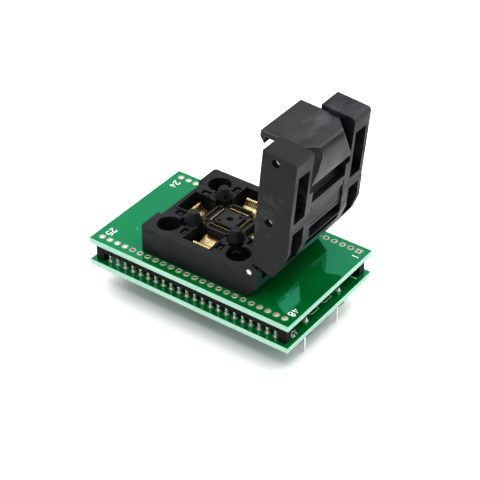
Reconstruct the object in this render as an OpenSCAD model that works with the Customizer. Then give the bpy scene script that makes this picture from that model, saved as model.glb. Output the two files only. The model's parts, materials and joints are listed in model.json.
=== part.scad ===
// Programming adapter: a clamshell socket for a 48-lead flat chip, on two stacked boards
// that end in a two-row 48-pin plug.
// Frame: +Z up, +X towards the hinge, origin midway along the boards at the plug pins' tips.
// The lid's pieces are drawn shut, in the hinge's own frame, then swung to the open rest pose.

/* [Boards] */
// Length of both boards, along the pin rows
board_l = 63.6; // [62.5:0.1:66]
// Width of both boards, across the pin rows
board_w = 39; // [38.6:0.1:42]
// Thickness of each board
board_t = 1.6; // [1.2:0.1:2]
// Clear height between the two boards
board_gap = 5.36; // [5.2:0.02:7]

/* [Pins] */
// Distance between neighbouring pins
pin_pitch = 2.54; // [2.54]
// Pins in each row
pins_per_row = 24; // [24]
// Distance between the two rows that link the boards
link_rows = 34.29; // [33.02, 34.29, 35.56]
// Distance between the two rows of the plug
plug_rows = 15.24; // [15.24]
// Width of a pin: the link pins are square, the plug pins round
pin_w = 0.64; // [0.5:0.02:0.64]
// Length of a plug pin below its strip
plug_pin_l = 6; // [3:0.5:8]
// Height of a pin strip's moulding
strip_h = 2.54; // [2:0.02:2.6]

/* [Socket] */
// Offset of the chip's centre from the boards' centre, along X
socket_x = -0.7; // [-1:0.1:0]
// Offset of the chip's centre from the boards' centre, along Y
socket_y = 0.45; // [0:0.05:0.5]
// Width of the socket base, along Y
base_w = 32.7; // [32.6:0.1:33]
// Height of the socket base's deck
deck_h = 8; // [8]
// Distance between the four guide holes
guide_pitch = 22.2; // [22:0.1:22.4]
// Diameter of a guide hole
guide_d = 6.3; // [5.8:0.1:6.4]
// Contacts on each side of the chip
contacts_per_side = 12; // [12]
// Distance between neighbouring contacts
contact_pitch = 0.5; // [0.5]

/* [Lid] */
// How far the lid stands open at rest, from shut
open_angle = 95; // [90:1:100]
// Length of the lid, from the hinge's axis to its free end
lid_l = 37.85; // [37.8:0.05:38]
// Width of the lid, along Y
lid_w = 32.4; // [32.2:0.1:32.5]
// Diameter of the hinge pin
hinge_pin_d = 1.6; // [1.4:0.1:1.6]
// Diameter of the latch and pusher pins
small_pin_d = 1.4; // [1.2:0.1:1.4]

/* [Hidden] */
$fn = 48;

eps = 0.01;
fit = 0.05;

// Heights of the stack, from the plug pins' tips up
lower_z = plug_pin_l + strip_h;
gap_z = lower_z + board_t;
upper_z = gap_z + board_gap;
deck_z = upper_z + board_t;
row_l = (pins_per_row - 1) * pin_pitch;
strip_l = pins_per_row * pin_pitch;
hole_r = 0.5;
pad_r = 0.95;
pad_t = 0.05;
link_y = link_rows / 2;
plug_y = plug_rows / 2;

// Socket base, measured from the chip's centre and the upper board's top
front_x = -16.45;
back_x = 20.3;
floor_h = 1.5;
pocket_half = 4.15;
pocket_end = 14.1;
well_half = 7.3;
shelf_half = 9.4;
shelf_h = 5.8;
guide_at = guide_pitch / 2;
nest_x = 0.2;
nest_y = 0.25;
post_at = 6.75;
neck_r = 2.05;
post_r = 2.5;
post_h = 8.1;
post_top = 11;
stub_at = 5.3;
stub_r = 0.6;
notch_half = 8.9;
hinge_x = 17.95;
hinge_h = 8.25;
ear_r = 2.85;
ear_in = 13.9;
contact_w = 0.21;
tail_rows = 3;
tail_at = 10.9;
tail_step = 1.2;

// Lid, measured from the hinge's axis: u along the lid, t out through its outer face
lid_face = 0.3;
lid_top = 10.2;
lid_brow = 10.35;
panel_t = 9.85;
slot_in = 10.05;
slot_out = 14.85;
knuckle_r = 2.35;
knuckle_in = 6.6;
latch_u = 35.6;
latch_t = 4.3;
latch_half = 8.6;
pusher_u = 17.75;
pusher_t = 4.1;
well_y = 8.9;

function corners() = [for (sx = [-1, 1], sy = [-1, 1]) [sx, sy]];
function unit(v) = v / norm(v);
function side_of(v) = [-v[1], v[0]];

// Offset at point i of a bent strip, so that every leg keeps its full width
function mitre(p, i) =
    let (a = unit(p[max(i, 1)] - p[max(i, 1) - 1]))
    let (b = unit(p[min(i, len(p) - 2) + 1] - p[min(i, len(p) - 2)]))
    let (m = unit(side_of(a) + side_of(b)))
    m / (m * side_of(a));

// Outline of a strip of width w along the points p
function strip_outline(p, w) = concat(
    [for (i = [0 : len(p) - 1]) p[i] + mitre(p, i) * w / 2],
    [for (i = [len(p) - 1 : -1 : 0]) p[i] - mitre(p, i) * w / 2]);

// Centre line of a coil spring along +Z with straight legs, as points
function coil_points(r, h, turns, steps) =
    [for (i = [0 : turns * steps]) let (a = 360 * i / steps) [r * cos(a), r * sin(a), h * i / (turns * steps)]];

function ring_normal(p, i) = unit(p[min(i + 1, len(p) - 1)] - p[max(i - 1, 0)]);

// Square-on frame of a wire at point i; the wire never runs along the reference
function wire_ring(p, i, r, n) =
    let (d = ring_normal(p, i))
    let (ref = abs(d[1]) > 0.9 ? [0, 0, 1] : [0, 1, 0])
    let (a = unit(cross(d, ref)))
    let (b = cross(d, a))
    [for (k = [0 : n - 1]) p[i] + r * (cos(360 * k / n) * a + sin(360 * k / n) * b)];

module wire(p, r, n = 6) {
    last = len(p) - 1;
    points = [for (i = [0 : last]) each wire_ring(p, i, r, n)];
    walls = [for (i = [0 : last - 1], k = [0 : n - 1], half = [0, 1]) half == 0
        ? [i * n + k, i * n + (k + 1) % n, (i + 1) * n + (k + 1) % n]
        : [i * n + k, (i + 1) * n + (k + 1) % n, (i + 1) * n + k]];
    start = [for (k = [n - 1 : -1 : 0]) k];
    end = [for (k = [0 : n - 1]) last * n + k];
    polyhedron(points = points, faces = concat(walls, [start, end]), convexity = 8);
}

module centred(l, w, h) {
    translate([-l / 2, -w / 2, 0]) cube([l, w, h]);
}

module rounded_plan(x0, x1, w, r) {
    translate([x0 + r, -w / 2]) square([x1 - x0 - r, w]);
    translate([x0, -w / 2 + r]) square([r + eps, w - 2 * r]);
    for (s = [-1, 1]) translate([x0 + r, s * (w / 2 - r)]) circle(r = r);
}

// Places a child at each pin of a row
module along_row(y, first = 0, last = pins_per_row - 1) {
    for (i = [first : last]) translate([i * pin_pitch - row_l / 2, y, 0]) children();
}

module in_socket() {
    translate([socket_x, socket_y, deck_z]) children();
}

// Swings a child from the shut lid's frame (u along +X here, t along +Z) to the open pose
module in_lid() {
    in_socket() translate([hinge_x, 0, hinge_h]) rotate([0, open_angle, 0]) mirror([1, 0, 0]) children();
}

// Extrudes an outline drawn in (u, t) across the lid, from y = -half to +half
module across(half) {
    translate([0, half, 0]) rotate([90, 0, 0]) linear_extrude(height = 2 * half) children();
}

module across_pin(u, t, r, half) {
    translate([u, half, t]) rotate([90, 0, 0]) cylinder(r = r, h = 2 * half);
}

// A box from u0 to u1, across y0 to y1, from t0 to t1
module block(u0, u1, y0, y1, t0, t1) {
    translate([u0, y0, t0]) cube([u1 - u0, y1 - y0, t1 - t0]);
}

module mirrored_block(u0, u1, y0, y1, t0, t1) {
    block(u0, u1, y0, y1, t0, t1);
    block(u0, u1, -y1, -y0, t0, t1);
}

// --- Boards -------------------------------------------------------------------------

module link_holes() {
    for (s = [-1, 1]) along_row(s * link_y) translate([0, 0, -eps]) cylinder(r = hole_r, h = board_t + 2 * eps);
}

module upper_board() {
    color("seagreen") translate([0, 0, upper_z]) difference() {
        centred(board_l, board_w, board_t);
        link_holes();
        translate([socket_x, socket_y, -eps]) all_tails() cylinder(d = 0.6, h = board_t + 2 * eps);
    }
}

module lower_board() {
    color("seagreen") translate([0, 0, lower_z]) difference() {
        centred(board_l, board_w, board_t);
        link_holes();
        for (s = [-1, 1]) along_row(s * plug_y)
            translate([0, 0, -eps]) cylinder(r = hole_r, h = board_t + 2 * eps);
    }
}

module pad() {
    difference() {
        cylinder(r = pad_r, h = pad_t);
        translate([0, 0, -eps]) cylinder(r = hole_r, h = pad_t + 2 * eps);
    }
}

module first_pad() {
    difference() {
        centred(2 * pad_r, 2 * pad_r, pad_t);
        translate([0, 0, -eps]) cylinder(r = hole_r, h = pad_t + 2 * eps);
    }
}

module pad_rows() {
    along_row(-link_y) pad();
    along_row(link_y, 0, pins_per_row - 2) pad();
    along_row(link_y, pins_per_row - 1) first_pad();
}

module upper_pads() {
    color("silver") translate([0, 0, deck_z]) pad_rows();
}

module lower_pads() {
    color("silver") translate([0, 0, gap_z]) pad_rows();
}

// --- Pin strips and pins ------------------------------------------------------------

strip_notch = 0.3;

// One moulding for a whole row, with the small notches where it can be snapped
module pin_strip(bottom_z) {
    difference() {
        translate([0, 0, bottom_z]) centred(strip_l, pin_pitch, strip_h);
        along_row(0) translate([0, 0, bottom_z - eps]) centred(pin_w, pin_w, strip_h + 2 * eps);
        for (i = [1 : pins_per_row - 1], s = [-1, 1])
            translate([i * pin_pitch - strip_l / 2, s * pin_pitch / 2, bottom_z - eps])
                rotate(45) centred(strip_notch, strip_notch, strip_h + 2 * eps);
    }
}

module link_pin_row(y) {
    along_row(y) translate([0, 0, link_pin_bottom]) centred(pin_w, pin_w, link_pin_top - link_pin_bottom);
}

// Plug pins: a tapered tip, round below the strip and square through it
module plug_pin_row(y) {
    tip = 0.5;
    along_row(y) {
        cylinder(d1 = pin_w / 2, d2 = pin_w, h = tip, $fn = 24);
        translate([0, 0, tip]) cylinder(d = pin_w, h = plug_pin_l - tip, $fn = 24);
        translate([0, 0, plug_pin_l]) centred(pin_w, pin_w, plug_pin_top - plug_pin_l);
    }
}

link_strip_z = upper_z - strip_h;
link_pin_bottom = lower_z - 0.9;
link_pin_top = upper_z + 0.5;
plug_pin_top = gap_z + 1;

module front_link_strip() {
    color("dimgray") translate([0, -link_y, 0]) pin_strip(link_strip_z);
}

module rear_link_strip() {
    color("dimgray") translate([0, link_y, 0]) pin_strip(link_strip_z);
}

// Short blocks under the strips' ends, which set the gap between the boards
module end_spacers() {
    color("dimgray") for (s = corners())
        translate([s[0] * row_l / 2, s[1] * link_y, gap_z + pad_t]) difference() {
            centred(pin_pitch, pin_pitch, link_strip_z - gap_z - pad_t);
            translate([0, 0, -eps]) centred(pin_w, pin_w, board_gap);
        }
}

module front_link_pins() {
    color("lightgray") link_pin_row(-link_y);
}

module rear_link_pins() {
    color("lightgray") link_pin_row(link_y);
}

// Solder fillets round the link pins on the lower board, apart from the spaced end pins
module link_solder() {
    color("silver") for (s = [-1, 1]) along_row(s * link_y, 1, pins_per_row - 2)
        translate([0, 0, gap_z + pad_t]) difference() {
            cylinder(r1 = 0.62, r2 = 0.46, h = 0.4);
            translate([0, 0, -eps]) centred(pin_w, pin_w, 1);
        }
}

module front_plug_strip() {
    color("dimgray") translate([0, -plug_y, 0]) pin_strip(plug_pin_l);
}

module rear_plug_strip() {
    color("dimgray") translate([0, plug_y, 0]) pin_strip(plug_pin_l);
}

module front_plug_pins() {
    color("lightgray") plug_pin_row(-plug_y);
}

module rear_plug_pins() {
    color("lightgray") plug_pin_row(plug_y);
}

// --- Socket base --------------------------------------------------------------------

module side_outline() {
    polygon([[front_x, 0], [16.7, 0], [back_x, 3.8], [back_x, deck_h], [front_x, deck_h]]);
}

module base_body() {
    intersection() {
        linear_extrude(height = deck_h) rounded_plan(front_x, back_x, base_w, 0.8);
        across(base_w / 2) side_outline();
    }
}

// Rounded ears that carry the hinge pin
module ears() {
    intersection() {
        across_pin(hinge_x, hinge_h, ear_r, base_w / 2);
        block(14, back_x, -base_w / 2, base_w / 2, deck_h - 4, 12);
    }
}

module hinge_gap() {
    block(15.3, back_x + eps, -ear_in, ear_in, 5.6, 12);
    block(14.5, 16, -ear_in, ear_in, deck_h, 12);
}

// Four deep pockets for the contacts, and the well for the nest
module pockets() {
    for (a = [0, 90]) rotate(a) translate([0, 0, floor_h])
        centred(2 * pocket_end, 2 * pocket_half, deck_h);
    translate([0, 0, floor_h]) centred(2 * well_half, 2 * well_half, deck_h);
    shelf_at = (well_half + shelf_half - eps) / 2;
    for (s = corners()) translate([s[0] * shelf_at, s[1] * shelf_at, shelf_h])
        centred(shelf_half - well_half + 1, shelf_half - well_half + 1, deck_h);
}

module guide_holes() {
    for (s = corners()) translate([s[0] * guide_at, s[1] * guide_at, 2]) {
        cylinder(d = guide_d, h = deck_h);
        translate([0, 0, deck_h - 2 - 0.22]) cylinder(d1 = guide_d, d2 = guide_d + 0.5, h = 0.25);
    }
}

// Small sunk windows beside the pockets, each round a little raised tab
module window(l, w) {
    difference() {
        translate([0, 0, deck_h - 1.3]) centred(l, w, 2);
        translate([0, 0, deck_h - 2]) centred(l - 1.3, w - 1.2, 1.75);
    }
}

module windows() {
    for (s = corners()) {
        translate([s[0] * 11.5, s[1] * 5.65, 0]) window(2.7, 2);
        translate([s[0] * 5.65, s[1] * 11.5, 0]) window(2, 2.7);
    }
}

// Thin raised ribs along the pockets' long edges
module ribs() {
    rib_w = 0.45;
    for (a = [0, 90], s = corners()) rotate(a)
        translate([s[0] * (shelf_half + pocket_end) / 2, s[1] * (pocket_half + rib_w / 2), deck_h - 0.5])
            centred(pocket_end - shelf_half, rib_w, 0.8);
}

// Recess in the free end for the latch's hook: lead-in slope, catch nose, undercut
module catch_recess() {
    across(notch_half) polygon([
        [front_x - 1, 6.6], [front_x + 0.05, 6.6], [-15.2, deck_h], [-15.2, deck_h + 1], [front_x - 1, deck_h + 1]]);
    across(notch_half) polygon([
        [front_x - 1, 0.6], [-15.05, 0.6], [-15.05, 4.35], [front_x - 1, 4.35]]);
}

// Guide post at a corner of the nest: a neck, a tapered head and a tent-shaped slot in the
// side that faces the chip
module guide_post() {
    difference() {
        union() {
            translate([0, 0, floor_h - eps]) cylinder(r = neck_r, h = post_h - floor_h + 2 * eps);
            translate([0, 0, post_h]) cylinder(r1 = post_r, r2 = 1.2, h = post_top - post_h);
        }
        rotate([90, 0, -90]) linear_extrude(height = 3)
            polygon([[-0.75, 6.1], [0.75, 6.1], [0.75, post_h - 0.4], [0, 10], [-0.75, post_h - 0.4]]);
    }
}

// A plain stub stands in front of each post; the one at the chip's first pin is a wide ring
module guide_posts() {
    for (a = [45, 135, 225, 315]) rotate(a) {
        translate([post_at * sqrt(2), 0, 0]) guide_post();
        translate([stub_at * sqrt(2), 0, floor_h - eps]) cylinder(r = stub_r, h = deck_h - floor_h + 0.5);
    }
    translate([stub_at, -stub_at, floor_h - eps]) cylinder(r = 1, h = deck_h - floor_h + 0.4);
}

// Runs a child at every contact tail: three staggered rows on each side
module all_tails() {
    translate([nest_x, nest_y, 0]) for (a = [0, 90, 180, 270], i = [0 : contacts_per_side - 1]) rotate(a)
        translate([contact_offset(i), -(tail_at + (i % tail_rows) * tail_step), 0]) children();
}

function contact_offset(i) = (i - (contacts_per_side - 1) / 2) * contact_pitch;

module socket_base() {
    color("#26282a") in_socket() difference() {
        union() {
            difference() {
                union() {
                    base_body();
                    ears();
                    ribs();
                }
                pockets();
                hinge_gap();
            }
            translate([nest_x, nest_y, 0]) guide_posts();
        }
        translate([nest_x + stub_at, nest_y - stub_at, deck_h - 0.1]) cylinder(r = 0.45, h = 0.6);
        guide_holes();
        block(front_x - 1, back_x + 1, base_w / 2 - 1.05, base_w / 2 + 1, -eps, 0.15);
        windows();
        catch_recess();
        translate([0, 0, -eps]) all_tails() cylinder(d = 0.6, h = floor_h + 1);
        across_pin(hinge_x, hinge_h, hinge_pin_d / 2, base_w / 2 + eps);
    }
}

// --- Chip nest ----------------------------------------------------------------------

nest_half = 6.3;
nest_cut = 9.1;
nest_top = 7.4;
seat_half = 3.05;
seat_top = 7.5;

module nest_plan(half, cut) {
    c = cut - half;
    polygon([[half, -c], [half, c], [c, half], [-c, half],
             [-half, c], [-half, -c], [-c, -half], [c, -half]]);
}

// Four bars round the contacts' tips, each with a lower shelf inside it and a leg at both ends
module nest_ring() {
    translate([0, 0, 5.6]) linear_extrude(height = nest_top - 5.6) difference() {
        nest_plan(nest_half, nest_cut);
        square(11.4, center = true);
    }
    translate([0, 0, 5.6]) linear_extrude(height = 1) difference() {
        nest_plan(nest_half, nest_cut);
        square(9.7, center = true);
    }
    intersection() {
        linear_extrude(height = nest_top) nest_plan(nest_half, nest_cut);
        union() {
            for (s = corners()) translate([s[0] * 5.3, s[1] * 5.3, 4.3]) centred(2.5, 2.5, 1.4);
            for (a = [0, 90, 180, 270], s = [-1, 1]) rotate(a)
                translate([s * 3.55, -5.65, 4.3]) centred(1, 1.6, nest_top - 4.3);
        }
    }
}

// Teeth between the contacts, and a bar from each corner of the seat out to the ring
module comb() {
    for (a = [0, 90, 180, 270], i = [0 : contacts_per_side]) rotate(a)
        translate([contact_offset(i) - contact_pitch / 2, -4.45, 5.65]) centred(0.2, 1, 0.85);
    for (a = [45, 135, 225, 315]) rotate(a) translate([4.9, 0, 4.3]) centred(2.2, 1.2, 2.6);
}

module seat() {
    translate([0, 0, floor_h]) centred(2 * seat_half, 2 * seat_half, seat_top - floor_h);
}

module chip_nest() {
    color("#2e3032") in_socket() translate([nest_x, nest_y, 0]) difference() {
        union() {
            translate([0, 0, floor_h]) linear_extrude(height = 2.9) nest_plan(nest_half, nest_cut);
            seat();
            nest_ring();
            comb();
        }
        translate([0, 0, 3]) cylinder(d = 1.9, h = 6);
        for (s = [-1, 1]) translate([s * 2, s * 2, 5]) cylinder(d = 1.1, h = 4);
        translate([seat_half, -seat_half, 6.9]) rotate(45) centred(1, 1, 2);
    }
}

// --- Contacts -----------------------------------------------------------------------

loop_r = 0.62;
loop_at = 11.9;
loop_z = 5.6;
leg_z = 2.1;

// Centre line of one contact, from its tip at the chip's lead to the foot of its tail:
// [distance from the chip's centre, height above the upper board]
function contact_line(tail) = concat(
    [[4.15, 7.3], [4.25, 6.2], [4.75, 5.3], [5.4, 4.95], [7.2, 4.75], [9.4, 4.3], [10.6, 4.65],
     [loop_at - loop_r, loop_z]],
    [for (a = [150 : -30 : 0]) [loop_at + loop_r * cos(a), loop_z + loop_r * sin(a)]],
    [[loop_at + loop_r, leg_z], [tail, leg_z], [tail, -2.6]]);

module contact(i) {
    tail = tail_at + (i % tail_rows) * tail_step;
    translate([contact_offset(i) - contact_w / 2, 0, 0]) rotate([90, 0, -90]) mirror([0, 0, 1])
        linear_extrude(height = contact_w) polygon(strip_outline(contact_line(tail), contact_w));
}

module contact_row(a) {
    color("goldenrod") in_socket() translate([nest_x, nest_y, 0]) rotate(a)
        for (i = [0 : contacts_per_side - 1]) contact(i);
}

module front_contacts() contact_row(0);
module right_contacts() contact_row(90);
module rear_contacts() contact_row(180);
module left_contacts() contact_row(270);

// --- Hinge --------------------------------------------------------------------------

module hinge_pin() {
    color("lightgray") in_socket() across_pin(hinge_x, hinge_h, hinge_pin_d / 2, base_w / 2 - 0.1);
}

spring_r = 1.3;
spring_wire = 0.25;

// Torsion spring round the pin: one leg under the base's floor edge, one up the lid
function torsion_points() = concat(
    [[-1.9, 0, -spring_r]],
    [for (i = [0 : 4.75 * 12]) [spring_r * cos(i * 30 - 90), 0.09 + i * 0.72 / 12, spring_r * sin(i * 30 - 90)]],
    [[-spring_r, 0.09 + 4.75 * 0.72, 5.2]]);

module hinge_springs() {
    color("silver") in_socket() translate([hinge_x, 0, hinge_h]) for (s = [-1, 1])
        mirror([0, s < 0 ? 1 : 0, 0]) translate([0, 1.4, 0]) wire(torsion_points(), spring_wire);
}

// --- Lid ----------------------------------------------------------------------------

module lid_outline() {
    polygon([[3.05, lid_face], [lid_l, lid_face], [lid_l, lid_top - 0.9], [lid_l - 0.26, lid_top - 0.26],
             [lid_l - 0.9, lid_top], [17.6, lid_top], [17.1, lid_brow], [12.9, lid_brow],
             [11.2, 10.45], [6.5, 9.15], [2.2, 6.96]]);
}

module knuckles() {
    for (s = [-1, 1]) translate([0, s * (knuckle_in + ear_in - 0.3) / 2, 0]) {
        across_pin(0, 0, knuckle_r, (ear_in - 0.3 - knuckle_in) / 2);
        across((ear_in - 0.3 - knuckle_in) / 2)
            polygon([[1.8, -1.3], [2.6, 0.3], [5, 0.35], [5, 6], [3, 6.5], [-1.9, 1.38]]);
    }
}

// Slots each side of the middle, above and below the crossbar
module side_slots() {
    mirrored_block(19.4, 33.35, slot_in, slot_out, 1.2, 12);
    mirrored_block(6.6, 16.45, slot_in, slot_out, 1.2, 12);
}

// Room under the lid for the nest's posts, the chip and the pusher
module chip_room() {
    block(8.3, 27.5, -9.6, 9.6, -1, 5.9);
    block(-3, 7, -knuckle_in + 0.3, knuckle_in - 0.3, -3, 4.2);
}

// Recess that the lever lies in, its finger scoop, and the well round the latch's pivot
module latch_recess() {
    block(25.3, lid_l + 1, -well_y, well_y, 6.9, 12);
    block(28, lid_l + 1, -well_y, well_y, 5.5, 12);
    across(7.4) polygon([[22, 12], [22, 8.6], [23.2, 7.5], [25.4, 6.9], [25.4, 12]]);
    block(33, lid_l + 1, -well_y, well_y, 2.3, 12);
    block(34.6, lid_l + 1, -well_y, well_y, -1, 12);
}

// Two pockets behind the hinge, with a thin rib between them
module tail_pockets() {
    block(10.75, 13.4, -7.1, 7.1, 6.6, 12);
    block(8, 10.3, -7.6, 7.6, 6.6, 12);
}

// Plain sunk panel, and the shallow grooves that frame it and the one above
module panel_grooves() {
    block(13.4 - eps, 19.3, -7.2, 7.2, panel_t, 12);
    block(19.2, 19.45, -7.2, 7.2, 9.7, 12);
    block(14.3, 14.6, -7.2, 7.2, panel_t - 0.3, 12);
    mirrored_block(14.3, 16.8, 6.8, 7.2, panel_t - 0.6, 12);
    mirrored_block(19.2, 20.6, 7.1, 7.5, 9.4, 12);
}

module lid_frame() {
    color("#303234") in_lid() difference() {
        union() {
            across(lid_w / 2) lid_outline();
            knuckles();
        }
        mirrored_block(-3, 3.05, ear_in - 0.3, 20, -4, 3.4);
        side_slots();
        chip_room();
        latch_recess();
        tail_pockets();
        panel_grooves();
        across_pin(0, 0, hinge_pin_d / 2 + fit, 20);
        across_pin(latch_u, latch_t, small_pin_d / 2, 20);
        across_pin(pusher_u, pusher_t, small_pin_d / 2, 20);
        for (s = [-1, 1]) for (p = [[latch_u, latch_t], [pusher_u, pusher_t]])
            translate([0, s * lid_w / 2, 0]) across_pin(p[0], p[1], 1.1, 1.1);
        translate([30.6, 0, 4.4]) cylinder(d = 3.6, h = 4);
    }
}

// --- Latch --------------------------------------------------------------------------

module latch_outline() {
    polygon([[36.75, -5.5], [35.05, -5.6], [33.25, -4.25], [35, -4.25], [35.3, -3.6], [35.35, 1.8], [34.5, 3],
             [34.2, 4.3], [34.4, 5.6], [33, 7.3], [30.5, 8.3], [27.9, 9.1], [27.75, 10.45], [31, 10.6],
             [34.3, 10.4], [35.8, 10], [36.6, 9.3], [36.95, 8.4], [36.9, 6], [36.4, 4.9], [36.55, 3.4],
             [36.95, 2.4], [36.9, -1]]);
}

// Removes all that lies outside the flat flank through three points of the lever's side
module flank_cut() {
    a = [27.9, 8.6, 10.5];
    b = [37.1, 5.25, 8.8];
    c = [37.1, 8.9, 5.3];
    n = unit(cross(b - a, c - a));
    translate(a) rotate([0, acos(n[2]), atan2(n[1], n[0])]) translate([-20, -20, 0]) cube([40, 40, 12]);
}

module latch() {
    color("#303234") in_lid() difference() {
        across(latch_half) latch_outline();
        flank_cut();
        mirror([0, 1, 0]) flank_cut();
        across_pin(latch_u, latch_t, small_pin_d / 2 + fit, 20);
    }
}

module latch_pin() {
    color("lightgray") in_lid() across_pin(latch_u, latch_t, small_pin_d / 2, lid_w / 2 - 0.8);
}

module latch_spring() {
    color("silver") in_lid() translate([30.6, 0, 4.65])
        wire(coil_points(1.3, 2.75, 4, 12), 0.2);
}

// --- Pusher -------------------------------------------------------------------------

module pusher() {
    color("#3a3c3e") in_lid() difference() {
        union() {
            block(hinge_x - 4.3, hinge_x + 4.3, -8.7, 8.7, 2.4, 3.6);
            block(hinge_x - 4.3, hinge_x + 4.3, -4.3, 4.3, -0.5, 2.5);
            for (s = [-1, 1]) translate([0, s * 7.2, 0]) {
                across_pin(pusher_u, pusher_t, 1.5, 1.4);
                across(1.4) translate([pusher_u - 1.5, 3]) square([3, pusher_t - 3]);
            }
        }
        block(hinge_x - 3.4, hinge_x + 3.4, -3.4, 3.4, -1, 1.2);
        across_pin(pusher_u, pusher_t, small_pin_d / 2 + fit, 20);
    }
}

module pusher_pin() {
    color("lightgray") in_lid() across_pin(pusher_u, pusher_t, small_pin_d / 2, lid_w / 2 - 0.8);
}

module pusher_springs() {
    color("silver") in_lid() for (s = [-1, 1]) translate([pusher_u + s * 2.9, 0, 4])
        wire(coil_points(1, 1.65, 4, 12), 0.18);
}

upper_board();
lower_board();
upper_pads();
lower_pads();
front_link_strip();
rear_link_strip();
end_spacers();
front_link_pins();
rear_link_pins();
link_solder();
front_plug_strip();
rear_plug_strip();
front_plug_pins();
rear_plug_pins();
socket_base();
chip_nest();
front_contacts();
rear_contacts();
left_contacts();
right_contacts();
hinge_pin();
hinge_springs();
lid_frame();
latch();
latch_pin();
latch_spring();
pusher();
pusher_pin();
pusher_springs();
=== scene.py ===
import json
import math
import random

import bmesh
import bpy
from mathutils import Matrix, Vector


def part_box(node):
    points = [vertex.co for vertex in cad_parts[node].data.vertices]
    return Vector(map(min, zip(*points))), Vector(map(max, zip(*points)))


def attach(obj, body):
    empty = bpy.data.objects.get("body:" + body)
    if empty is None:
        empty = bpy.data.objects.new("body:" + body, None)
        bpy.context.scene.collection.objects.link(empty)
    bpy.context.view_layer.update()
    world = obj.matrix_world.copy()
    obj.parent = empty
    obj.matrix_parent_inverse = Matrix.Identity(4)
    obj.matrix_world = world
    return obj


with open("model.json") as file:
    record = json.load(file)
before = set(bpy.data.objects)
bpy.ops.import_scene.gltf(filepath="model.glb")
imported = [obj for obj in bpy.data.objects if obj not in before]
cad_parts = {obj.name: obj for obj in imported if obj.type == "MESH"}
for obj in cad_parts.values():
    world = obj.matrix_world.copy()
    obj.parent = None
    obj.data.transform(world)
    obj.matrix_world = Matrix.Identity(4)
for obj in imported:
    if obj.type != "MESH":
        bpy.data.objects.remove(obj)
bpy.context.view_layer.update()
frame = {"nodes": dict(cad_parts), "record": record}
nodes = frame["nodes"]
MM = 0.001

# Pins in a row, and the distance between them in mm
PINS = 24
PITCH = 2.54


# --- Camera and light ---------------------------------------------------------------

# Where the camera stands (mm), the way it looks and its upward direction
CAMERA_AT = Vector((198.49, -273.92, 268.06))
CAMERA_FORWARD = Vector((-0.46701, 0.65519, -0.59382))
CAMERA_UP = Vector((-0.34865, 0.4807, 0.80459))
CAMERA_LENS = 120.05

# Name, place (m), size (m) and power (W) of each soft light
LIGHTS = (
    ("key", (-0.08, 0.08, 0.9), 1.4, 17.0),
    ("front", (0.22, -0.34, 0.62), 0.1, 1.2),
    ("rim", (0.3, 0.7, 0.55), 0.3, 3.0),
)
LIGHTS_AIM = Vector((0, 0, 0.02))
WORLD_STRENGTH = 0.75
FLOOR_HALF = 3


def camera():
    data = bpy.data.cameras.new("camera")
    data.lens = CAMERA_LENS
    data.sensor_width = 36
    data.clip_start = 0.01
    data.clip_end = 20
    cam = bpy.data.objects.new("camera", data)
    bpy.context.scene.collection.objects.link(cam)
    right = CAMERA_FORWARD.cross(CAMERA_UP)
    axes = Matrix((right, CAMERA_UP, -CAMERA_FORWARD)).transposed()
    cam.matrix_world = Matrix.Translation(CAMERA_AT * MM) @ axes.to_4x4()
    bpy.context.scene.camera = cam


def soft_light(name, place, size, power):
    data = bpy.data.lights.new(name, "AREA")
    data.size = size
    data.energy = power
    obj = bpy.data.objects.new(name, data)
    obj.location = place
    obj.rotation_euler = (LIGHTS_AIM - Vector(place)).to_track_quat("-Z", "Y").to_euler()
    bpy.context.scene.collection.objects.link(obj)


def studio():
    for name, place, size, power in LIGHTS:
        soft_light(name, place, size, power)
    world = bpy.data.worlds.new("world")
    world.use_nodes = True
    background = world.node_tree.nodes["Background"]
    background.inputs["Color"].default_value = (1, 1, 1, 1)
    background.inputs["Strength"].default_value = WORLD_STRENGTH
    bpy.context.scene.world = world
    bpy.context.scene.view_settings.view_transform = "Standard"

    h = FLOOR_HALF
    data = bpy.data.meshes.new("floor")
    data.from_pydata([(-h, -h, 0), (h, -h, 0), (h, h, 0), (-h, h, 0)], [], [(0, 1, 2, 3)])
    floor = bpy.data.objects.new("floor", data)
    floor.data.materials.append(plain("floor", (0.84, 0.84, 0.84), 0.6))
    bpy.context.scene.collection.objects.link(floor)


# --- Materials ----------------------------------------------------------------------

def plain(name, colour, rough, share=0.0):
    """One colour and roughness, with share as how far it is metal."""
    mat = bpy.data.materials.new(name)
    mat.use_nodes = True
    shader = mat.node_tree.nodes["Principled BSDF"]
    shader.inputs["Base Color"].default_value = (*colour, 1)
    shader.inputs["Roughness"].default_value = rough
    shader.inputs["Metallic"].default_value = share
    return mat


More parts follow.
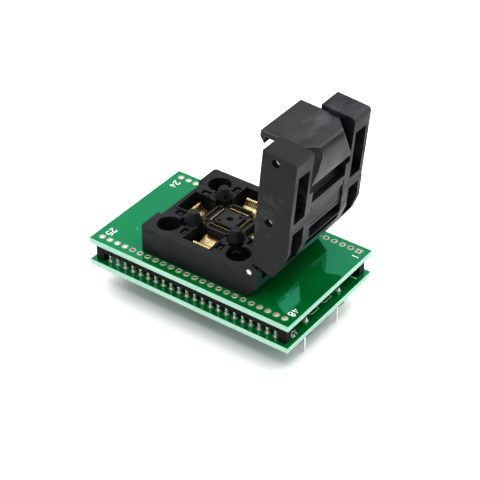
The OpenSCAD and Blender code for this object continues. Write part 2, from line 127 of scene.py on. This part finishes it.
class Graph:
    """Short ways to add nodes to one material."""

    def __init__(self, mat):
        self.tree = mat.node_tree
        self.shader = self.tree.nodes["Principled BSDF"]
        self.place = self.tree.nodes.new("ShaderNodeTexCoord").outputs["Object"]

    def join(self, source, target):
        self.tree.links.new(source, target)

    def noise(self, scale, detail=3, stretch=(1, 1, 1), rough=0.5):
        move = self.tree.nodes.new("ShaderNodeMapping")
        move.inputs["Scale"].default_value = stretch
        self.join(self.place, move.inputs["Vector"])
        node = self.tree.nodes.new("ShaderNodeTexNoise")
        node.inputs["Scale"].default_value = scale
        node.inputs["Detail"].default_value = detail
        node.inputs["Roughness"].default_value = rough
        self.join(move.outputs["Vector"], node.inputs["Vector"])
        return node.outputs["Fac"]

    def ramp(self, value, stops):
        node = self.tree.nodes.new("ShaderNodeValToRGB")
        while len(node.color_ramp.elements) < len(stops):
            node.color_ramp.elements.new(0.5)
        for element, (at, colour) in zip(node.color_ramp.elements, stops):
            element.position = at
            element.color = (*colour, 1)
        self.join(value, node.inputs["Fac"])
        return node.outputs["Color"]

    def span(self, value, low, high, to_low, to_high):
        node = self.tree.nodes.new("ShaderNodeMapRange")
        node.inputs["From Min"].default_value = low
        node.inputs["From Max"].default_value = high
        node.inputs["To Min"].default_value = to_low
        node.inputs["To Max"].default_value = to_high
        self.join(value, node.inputs["Value"])
        return node.outputs["Result"]

    def maths(self, kind, a, b):
        node = self.tree.nodes.new("ShaderNodeMath")
        node.operation = kind
        for socket, value in zip(node.inputs, (a, b)):
            if isinstance(value, (int, float)):
                socket.default_value = value
            else:
                self.join(value, socket)
        return node.outputs["Value"]

    def mix(self, factor, a, b):
        """Mixes two colours; b may be a tuple or a socket."""
        node = self.tree.nodes.new("ShaderNodeMix")
        node.data_type = "RGBA"
        self.join(factor, node.inputs["Factor"])
        colour_a, colour_b = (socket for socket in node.inputs if socket.type == "RGBA")
        self.join(a, colour_a)
        if isinstance(b, tuple):
            colour_b.default_value = (*b, 1)
        else:
            self.join(b, colour_b)
        return next(socket for socket in node.outputs if socket.type == "RGBA")

    def bump(self, height, strength, depth):
        node = self.tree.nodes.new("ShaderNodeBump")
        node.inputs["Strength"].default_value = strength
        node.inputs["Distance"].default_value = depth
        self.join(height, node.inputs["Height"])
        self.join(node.outputs["Normal"], self.shader.inputs["Normal"])


def moulding(name, dark, pale, rough, spread, gleam=0.14, sheen_strength=0.5):
    """Black moulded plastic: fine spark-eroded grain, cloudy gloss and a few glossier patches with
    painted sheen.

    Roughness runs from rough - spread to rough + spread, gleam is how strongly the surface
    reflects, and the last argument is how strong the patches are, which are glossier and carry a paler
    colour as painted sheen.
    """
    # The patches of painted sheen: how much paler their colour is, and how much their roughness drops
    sheen_pale = 3.6
    patch_gloss = 0.12
    mat = plain(name, dark, rough)
    g = Graph(mat)
    g.shader.inputs["Specular IOR Level"].default_value = gleam
    cloud = g.noise(150, 4)
    streak = g.noise(75, 5, (1, 0.4, 1.8), 0.65)
    # Where the streaks are strong, a paler colour is painted in as sheen and the surface is glossier
    sheen_patches = g.span(streak, 0.54, 0.74, 0, sheen_strength)
    clouded = g.ramp(cloud, [(0.3, dark), (0.72, pale)])
    g.join(g.mix(sheen_patches, clouded, tuple(sheen_pale * c for c in pale)), g.shader.inputs["Base Color"])
    shine = g.span(cloud, 0.3, 0.7, rough - spread, rough + spread)
    g.join(g.maths("SUBTRACT", shine, g.maths("MULTIPLY", sheen_patches, patch_gloss)),
           g.shader.inputs["Roughness"])
    g.bump(g.noise(2600, 2), 0.35, 0.00004)
    return mat


def metal(name, colour, rough, spread=0.06, tarnish=0.8, share=1.0):
    """Plated or drawn metal with a little tarnish and uneven gloss."""
    grain = 900
    mat = plain(name, colour, rough, share)
    g = Graph(mat)
    cloud = g.noise(grain, 4)
    dull = tuple(tarnish * c for c in colour)
    g.join(g.ramp(cloud, [(0.35, dull), (0.6, colour)]), g.shader.inputs["Base Color"])
    g.join(g.span(cloud, 0.3, 0.7, rough + spread, rough - spread), g.shader.inputs["Roughness"])
    g.bump(g.noise(grain * 3, 2), 0.15, 0.00003)
    return mat


def board_material():
    """Solder mask on both faces, and pale layered fibreglass on the cut edges."""
    mat = plain("board", (0.0, 0.1, 0.016), 0.08)
    g = Graph(mat)
    g.shader.inputs["IOR"].default_value = 1.8
    g.shader.inputs["Specular Tint"].default_value = (0.03, 1, 0.64, 1)
    g.shader.inputs["Specular IOR Level"].default_value = 1.0
    split = g.tree.nodes.new("ShaderNodeSeparateXYZ")
    geometry = g.tree.nodes.new("ShaderNodeNewGeometry")
    g.join(geometry.outputs["True Normal"], split.inputs["Vector"])
    flat = g.maths("GREATER_THAN", g.maths("ABSOLUTE", split.outputs["Z"], 0), 0.7)
    mask = g.ramp(
        g.noise(60, 5),
        [(0.35, (0.0, 0.077, 0.01)), (0.65, (0.0, 0.095, 0.015))],
    )
    layers = g.noise(40, 2, (1, 1, 190))
    edge = g.ramp(layers, [(0.4, (0.3, 0.4, 0.34)), (0.6, (0.46, 0.55, 0.48))])
    g.join(g.mix(flat, edge, mask), g.shader.inputs["Base Color"])
    gloss = g.span(g.noise(45, 3), 0.3, 0.7, 0.04, 0.1)
    matt_edge = g.maths("MULTIPLY", g.maths("SUBTRACT", 1, flat), 0.45)
    g.join(g.maths("ADD", gloss, matt_edge), g.shader.inputs["Roughness"])
    g.bump(g.noise(160, 3), 0.12, 0.00006)
    return mat


# By the record's material slots first, then for single nodes and added pieces
MATERIALS = {
    "board": board_material(),
    "pads": metal("pads", (0.56, 0.52, 0.44), 0.42, share=0.7),
    "strip": moulding("strip", (0.002, 0.002, 0.002), (0.004, 0.004, 0.004), 0.5, 0.06, 0.06, 0.1),
    "pins": metal("pins", (0.9, 0.88, 0.84), 0.22, share=0.8),
    "solder": metal("solder", (0.72, 0.70, 0.66), 0.24, 0.05, 0.85, 0.7),
    "socket": moulding("socket", (0.0022, 0.0028, 0.0031), (0.0052, 0.0062, 0.0066), 0.44, 0.08, 0.12),
    "nest": moulding("nest", (0.008, 0.0075, 0.0075), (0.014, 0.0135, 0.013), 0.4, 0.06, 0.12, 0.3),
    "contacts": metal("contacts", (0.80, 0.59, 0.28), 0.26, 0.05, 0.85),
    "feet": metal("feet", (0.55, 0.56, 0.52), 0.2, share=0.9),
    "steel": metal("steel", (0.62, 0.62, 0.63), 0.3),
    "springs": metal("springs", (0.66, 0.66, 0.68), 0.25),
    # The lid and the latch carry the strongest patches of painted sheen (the last number)
    "lid": moulding("lid", (0.0012, 0.0016, 0.0021), (0.0082, 0.0089, 0.0101), 0.41, 0.14, 0.12, 1.15),
    # The latch: a glossier, paler copy of the lid's plastic; the paler colour is painted light for its
    # brighter top
    "latch": moulding("latch", (0.0035, 0.004, 0.0045), (0.016, 0.0165, 0.018), 0.38, 0.14, 0.15, 1.0),
    "edge": moulding("edge", (0.004, 0.0045, 0.005), (0.008, 0.009, 0.0095), 0.16, 0.05, 0.8, 0.3),
    "dark_pins": metal("dark_pins", (0.22, 0.22, 0.23), 0.25),
    # A dim greenish metal for the upper pads, darker than the solder rings on them
    "dim_green_pads": metal("dim_green_pads", (0.24, 0.33, 0.21), 0.4, share=0.5),
    # The lower pads, darkened as painted shade for the shade between the boards
    "painted_shade_pads": metal("painted_shade_pads", (0.14, 0.22, 0.12), 0.35, share=0.4),
    "pusher": moulding("pusher", (0.006, 0.006, 0.006), (0.011, 0.011, 0.011), 0.42, 0.06),
    "ink": plain("ink", (0.85, 0.86, 0.84), 0.5),
    # Near black, used as painted shade inside holes
    "hole": plain("hole", (0.002, 0.003, 0.0025), 0.9),
}


# --- CAD nodes ----------------------------------------------------------------------

# Nodes that look different from the rest of their slot
OWN_MATERIALS = {
    # The latch takes a paler copy of the lid's plastic, as painted light on its top
    "latch": "latch",
    "latch_pin": "dark_pins",
    "pusher_pin": "dark_pins",
    "upper_pads": "dim_green_pads",
    # The lower pads are darkened as painted shade between the boards
    "lower_pads": "painted_shade_pads",
    # The solder round the link pins takes the darker feet metal, as painted shade between the boards
    "link_solder": "feet",
}

# Width (mm) of each node's edge rounding, and the material of that rounding if it has its own
ROUNDED = {
    "socket_base": (0.16, "edge"),
    "lid_frame": (0.28, "edge"),
    "latch": (0.3, "edge"),
    "pusher": (0.15, None),
    "chip_nest": (0.05, None),
    "front_link_strip": (0.08, None),
    "rear_link_strip": (0.08, None),
    "end_spacers": (0.12, None),
    "front_plug_strip": (0.08, None),
    "rear_plug_strip": (0.08, None),
    "latch_pin": (0.12, None),
    "pusher_pin": (0.12, None),
    "hinge_pin": (0.15, None),
}


def soften(node, width, edge):
    """Rounds a node's edges, with its flat faces kept flat."""
    obj = nodes[node]
    for face in obj.data.polygons:
        face.use_smooth = True
    weld = obj.modifiers.new("weld", "WELD")
    weld.merge_threshold = 0.002 * MM
    bevel = obj.modifiers.new("bevel", "BEVEL")
    bevel.width = width * MM
    bevel.segments = 3
    bevel.limit_method = "ANGLE"
    bevel.angle_limit = math.radians(32)
    bevel.miter_outer = "MITER_ARC"
    bevel.face_strength_mode = "FSTR_ALL"
    if edge:
        obj.data.materials.append(MATERIALS[edge])
        bevel.material = 1
    normals = obj.modifiers.new("normals", "WEIGHTED_NORMAL")
    normals.use_face_influence = True
    normals.keep_sharp = False


def dress_nodes():
    for part in frame["record"]["subparts"]:
        obj = nodes[part["node"]]
        obj.data.materials.clear()
        obj.data.materials.append(MATERIALS[part["material_slot"]])
    for node, name in OWN_MATERIALS.items():
        nodes[node].data.materials[0] = MATERIALS[name]
    for node, (width, edge) in ROUNDED.items():
        soften(node, width, edge)


# --- Added pieces -------------------------------------------------------------------

def piece(name, mesh, material, smooth=True):
    obj = bpy.data.objects.new(name, mesh)
    bpy.context.scene.collection.objects.link(obj)
    mesh.materials.clear()
    mesh.materials.append(MATERIALS[material])
    for face in mesh.polygons:
        face.use_smooth = smooth
    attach(obj, "base")


def top_of(node):
    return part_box(node)[1][2]


def pin_places(node):
    """The (x, y) of every pin of a row, in metres, from its node's box."""
    low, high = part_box(node)
    y = (low[1] + high[1]) / 2
    middle = (low[0] + high[0]) / 2
    return [(middle + (i - (PINS - 1) / 2) * PITCH * MM, y) for i in range(PINS)]


def lathe(bm, centre, profile, sides=20):
    """Turns a profile of (radius, height) points in mm round an upright axis at a place in metres."""
    cx, cy, cz = centre
    turns = [2 * math.pi * i / sides for i in range(sides)]
    rings = []
    for radius, height in profile:
        reach = radius * MM
        level = cz + height * MM
        if radius == 0:
            rings.append([bm.verts.new((cx, cy, level))])
        else:
            rings.append([bm.verts.new((cx + reach * math.cos(t), cy + reach * math.sin(t), level))
                          for t in turns])
    for a, b in zip(rings, rings[1:]):
        for i in range(sides):
            j = (i + 1) % sides
            if len(a) == 1:
                bm.faces.new((a[0], b[j], b[i]))
            elif len(b) == 1:
                bm.faces.new((a[i], a[j], b[0]))
            else:
                bm.faces.new((a[i], a[j], b[j], b[i]))


def finished(bm, name):
    """A mesh from the builder's faces, all turned outwards."""
    bmesh.ops.recalc_face_normals(bm, faces=bm.faces)
    mesh = bpy.data.meshes.new(name)
    bm.to_mesh(mesh)
    bm.free()
    return mesh


# Strokes of each digit, with points as (across, up) in parts of DIGIT_WIDE and DIGIT_HIGH
STROKES = {
    "1": [[(0, 0), (0, 1)]],
    "2": [[(-0.3, 0.76), (-0.27, 0.9), (-0.13, 1), (0.13, 1), (0.27, 0.9), (0.3, 0.73), (0.2, 0.52),
           (-0.3, 0.04), (-0.3, 0), (0.32, 0)]],
    "4": [[(0.34, 0.28), (-0.34, 0.28), (0.16, 1), (0.16, 0)]],
    "5": [[(0.28, 1), (-0.26, 1), (-0.29, 0.56), (-0.1, 0.65), (0.12, 0.64), (0.29, 0.5), (0.3, 0.22),
           (0.15, 0.02), (-0.12, 0), (-0.3, 0.14)]],
    "8": [[(0, 0.54), (-0.22, 0.62), (-0.27, 0.8), (-0.16, 0.97), (0, 1), (0.16, 0.97), (0.27, 0.8),
           (0.22, 0.62), (0, 0.54), (-0.26, 0.42), (-0.31, 0.2), (-0.17, 0.02), (0, 0), (0.17, 0.02),
           (0.31, 0.2), (0.26, 0.42), (0, 0.54)]],
}


def ink_lines(name, lines, width, level):
    """Printed lines of that width (mm): strips a hair thick, on a board at that level."""
    squash = 0.05
    lift = 0.005
    curve = bpy.data.curves.new(name, "CURVE")
    curve.dimensions = "3D"
    curve.bevel_depth = width * MM / 2
    curve.bevel_resolution = 3
    curve.use_fill_caps = True
    for points in lines:
        loop = len(points) > 2 and points[0] == points[-1]
        spline = curve.splines.new("POLY")
        used = points[:-1] if loop else points
        spline.points.add(len(used) - 1)
        for point, (x, y) in zip(spline.points, used):
            point.co = (x * MM, y * MM, 0, 1)
        spline.use_cyclic_u = loop
    maker = bpy.data.objects.new(name, curve)
    bpy.context.scene.collection.objects.link(maker)
    made = maker.evaluated_get(bpy.context.evaluated_depsgraph_get())
    mesh = bpy.data.meshes.new_from_object(made)
    bpy.data.objects.remove(maker)
    bpy.data.curves.remove(curve)
    raised = Matrix.Translation((0, 0, level + lift * MM))
    mesh.transform(raised @ Matrix.Diagonal((1, 1, squash, 1)))
    piece(name, mesh, "ink")


# Height, width and spacing (mm) of the printed digits
DIGIT_HIGH = 1.9
DIGIT_WIDE = 1.75
DIGIT_STEP = 1.62

# Pin numbers on each board with the place (mm) of their middle
UPPER_NUMBERS = (("24", -28.7, 13.6), ("25", -28.7, -14.1), ("48", 29.65, -13.9), ("1", 29.65, 14.7))
LOWER_NUMBERS = (("48", 29.5, -13.7), ("1", 29.5, 14.7))

# Printed outline of a small part, with one corner cut, and the Y of each one's middle
OUTLINE = ((29.15, 1.7), (29.15, -1.25), (28.7, -1.7), (26.4, -1.7), (26.4, 1.7), (29.15, 1.7))
OUTLINE_MIDDLES = (2.9, -3.05)

# Places (mm) of the two vias beside the socket
VIAS = ((26.54, 7.64), (-24.14, -8.91))


def numeral(text, x, y):
    """Strokes of a pin number that reads towards -Y with its tops towards +X."""
    lines = []
    for i, digit in enumerate(text):
        start = y - (i - (len(text) - 1) / 2) * DIGIT_STEP
        for stroke in STROKES[digit]:
            lines.append([(x + (v - 0.5) * DIGIT_HIGH, start - u * DIGIT_WIDE) for u, v in stroke])
    return lines


def printing():
    for name, numbers, width, board in (("upper_numbers", UPPER_NUMBERS, 0.3, "upper_board"),
                                        ("lower_numbers", LOWER_NUMBERS, 0.28, "lower_board")):
        lines = [line for number in numbers for line in numeral(*number)]
        ink_lines(name, lines, width, top_of(board))
    outlines = [[(x, middle + y) for x, y in OUTLINE] for middle in OUTLINE_MIDDLES]
    ink_lines("part_outlines", outlines, 0.2, top_of("lower_board"))


def vias():
    """A low rim under the solder mask at each via, with a black disc in its middle as painted shade for
    the via's hole.
    """
    level = top_of("upper_board")
    for name, material, profile in (
            ("via_rims", "board", [(0.2, 0), (0.2, 0.03), (0.42, 0.03), (0.52, 0)]),
            # A black disc: painted shade for the hole of each via
            ("via_hole_shade", "hole", [(0, 0.012), (0.2, 0.012), (0.2, 0.001), (0, 0.001)])):
        bm = bmesh.new()
        for x, y in VIAS:
            lathe(bm, (x * MM, y * MM, level), profile)
        piece(name, finished(bm, name), material)


# Pins of each row whose upper pads are filled with solder, counted from the low X end
FILLED = {"front_link_pins": (0, 1, 2, 3, 20, 21, 22, 23), "rear_link_pins": (0, 1, 2, 3)}

# How far (mm) the solder sits off its pad's middle, and how far it sinks into the pad
OFF_MIDDLE = 0.06
SINK = 0.01


def solder_dome(bm, place, wide, high):
    arc = [(wide * math.cos(a), high * math.sin(a)) for a in (0, 0.35, 0.7, 1.1)]
    lathe(bm, place, [(0, 0)] + arc + [(0, high)])


def solder_ring(bm, place, rim, hole, high):
    """A rounded ring that runs down into its hole."""
    lathe(bm, place, [
        (rim, 0), (rim - 0.05, high * 0.6), ((rim + hole) / 2, high), (hole + 0.04, high * 0.6),
        (hole, -0.1), (hole + 0.01, -0.2), (0.49, -0.2), (0.5, -0.02), (rim, 0),
    ])


def pad_solder():
    """Solder on the upper pads: a raised ring round each open hole, and a dome over each filled one."""
    level = top_of("upper_pads")
    foot = level - SINK * MM
    rings = bmesh.new()
    hole_shades = bmesh.new()
    domes = bmesh.new()
    for node, filled in FILLED.items():
        for i, (x, y) in enumerate(pin_places(node)):
            x += random.uniform(-OFF_MIDDLE, OFF_MIDDLE) * MM
            y += random.uniform(-OFF_MIDDLE, OFF_MIDDLE) * MM
            wide = random.uniform(0.66, 0.74)
            high = random.uniform(0.1, 0.18)
            if i in filled:
                solder_dome(domes, (x, y, foot), wide, high)
            else:
                hole = random.uniform(0.4, 0.47)
                solder_ring(rings, (x, y, foot), wide - 0.06, hole, high)
                # A black disc a little way down each open hole, as painted shade for the inside of the
                # hole
                floor = hole + 0.02
                lathe(hole_shades, (x, y, level), [(0, -0.04), (floor, -0.04), (floor, -0.07), (0, -0.07)])
    piece("pad_rings", finished(rings, "pad_rings"), "pads")
    piece("pad_domes", finished(domes, "pad_domes"), "pads")
    piece("pad_hole_shade", finished(hole_shades, "pad_hole_shade"), "hole", smooth=False)


def pin_solder():
    """Cones of solder round the pins where they come through the lower board."""
    cones = bmesh.new()
    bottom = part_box("lower_board")[0][2]
    top = top_of("lower_board")
    for node, level, way in (("front_link_pins", bottom, -1), ("rear_link_pins", bottom, -1),
                             ("front_plug_pins", top, 1), ("rear_plug_pins", top, 1)):
        for x, y in pin_places(node):
            wide = 0.82 + 0.12 * random.random()
            tall = way * (0.62 + 0.16 * random.random())
            lathe(cones, (x, y, level), [
                (0, 0), (wide, 0), (wide * 0.72, tall * 0.28), (0.46, tall * 0.7), (0.3, tall), (0, tall),
            ], 16)
    piece("pin_cones", finished(cones, "pin_cones"), "solder")


camera()
studio()
dress_nodes()
printing()
vias()
random.seed(7)
pad_solder()
pin_solder()
